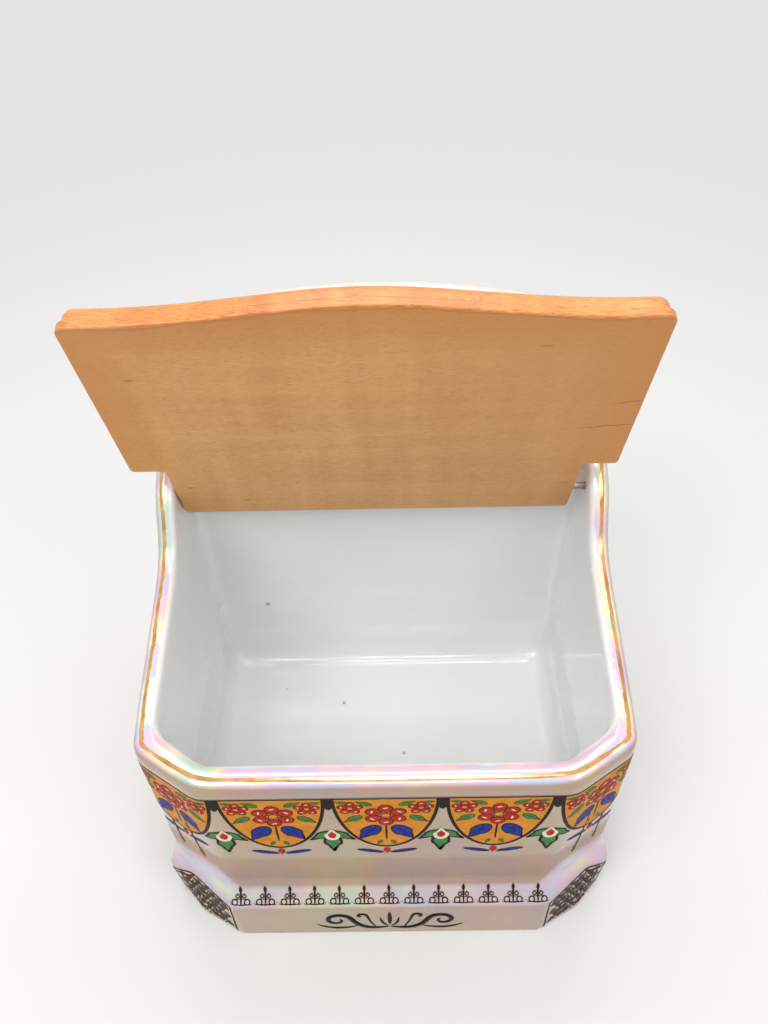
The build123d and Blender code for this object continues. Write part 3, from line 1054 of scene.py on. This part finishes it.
# %% Fill the foot's corners with fretwork
random.seed(11)
fret_ring = ring("fret_ring", 2.3, 0.65, 12)
fret_dot = flat_shape("fret_dot", "outline", 0.9, 0.9, corners=8)
fret_leaf = flat_shape("fret_leaf", "outline", 1.05, 3.6, corners=10, point=0.3)
fret = []
first, last, low, high = 51.2, 75.8, 0.6, 19.4
column_step, row_step = 3.3, 3.15
motifs = (((fret_leaf, -0.6, 0.1, 28), (fret_leaf, 0.7, 0.2, 50), (fret_dot, 1.7, -1.2, 0)),
          ((fret_ring, 0, 0, 0), (fret_leaf, 1.5, 0.6, 35), (fret_leaf, -1.2, 1.4, -50)))
for row in range(5):
    for column in range(7 - row % 2):
        across = first + 2.5 + (column + 0.5 * (row % 2)) * column_step
        up = low + 3.2 + row * row_step
        size, tilt = random.uniform(0.85, 1.1), random.uniform(-14, 14)
        for side in (-1, 1):
            fret += [set_out(shape, side * (across + x), up + z, turn=side * (turn + tilt), size=size)
                     for shape, x, z, turn in motifs[(row + column) % 2]]
fretwork = join(fret, "foot_fretwork")
slice_upright(fretwork, (63.5, 65.0, 66.5, 68.0, 69.5, 75.5, 76.5))
wrap(fretwork, on_foot, 0.1)
fretwork.data.materials[0] = brown_print
discard([fret_ring, fret_dot, fret_leaf])
level_line = [(across, high) for across in np.linspace(first, last, 30)]
frame_lines = both_sides("fret_level_line", level_line, 0.7, brown_print, smooth=False)
for across in (first, last):
    upright_line = [(across, up) for up in np.linspace(low, high, 6)]
    frame_lines += both_sides("fret_upright_line", upright_line, 0.7, brown_print, smooth=False)
wrap(join(frame_lines, "fretwork_frame"), on_foot, 0.1)
print("fretwork:", len(fretwork.data.polygons), "faces")


# %% Draw the flourish and the gold strokes
def spiral(across, up, start, turns, wide, steps):
    """Points that wind in to a centre, for the curl at the end of a flourish."""
    points = []
    for step in range(steps + 1):
        share = step / steps
        angle = math.radians(start) + 2 * math.pi * turns * share
        reach = wide * (1 - 0.82 * share)
        points.append((across + reach * math.cos(angle), up + reach * math.sin(angle)))
    return points


def early(share):
    """A swelling that is full soon after the start of a stroke and fades along its curl."""
    return math.sin(math.pi * share ** 0.5)


scroll_line = [(0.3, 4.9), (4.6, 3.4), (9.4, 4.8)] + spiral(17.0, 10.0, 185, -1.15, 5.0, 12)
tail = [(10.6, 5.8), (14.7, 3.2), (19.8, 3.4), (23.8, 7.0)]
leaflet = [(0.7, 5.8), (2.9, 7.4), (3.0, 12.2)]
tendril = [(4.6, 4.6), (6.4, 8.6)] + spiral(9.2, 13.2, 190, -0.8, 2.1, 8)
flourish = [stroke("flourish_leaf", [(0, 6.6), (0, 10.8), (0, 16.2)], 2.6, dark, 0.1)]
flourish += both_sides("flourish_scroll", scroll_line, 2.1, dark, 0.3, swell=early)
flourish += both_sides("flourish_tail", tail, 1.8, dark, 0.15)
flourish += both_sides("flourish_leaflet", leaflet, 1.6, dark, 0.15)
flourish += both_sides("flourish_tendril", tendril, 1.4, dark, 0.3)
flourish = wrap(join(flourish, "foot_flourish"), on_foot, 0.1)


def blob(share):
    """A swelling near the end of a stroke, where the brush was lifted."""
    return math.exp(-((share - 0.9) / 0.07) ** 2)


gold = []
for along, top, bottom, lean in ((60.2, 62.5, 37.5, 2.2), (66.8, 55.0, 38.5, 0.8)):
    line = [(along - lean * share * share, top + (bottom - top) * share)
            for share in np.linspace(0, 1, 16)]
    gold += both_sides("gold_stroke", line, 1.7, gold_brown, 0.42, swell=blob)
gold = wrap(join(gold, "corner_gold_strokes"), on_body, 0.1)
print("flourish:", len(flourish.data.polygons), "faces, gold:", len(gold.data.polygons), "faces")
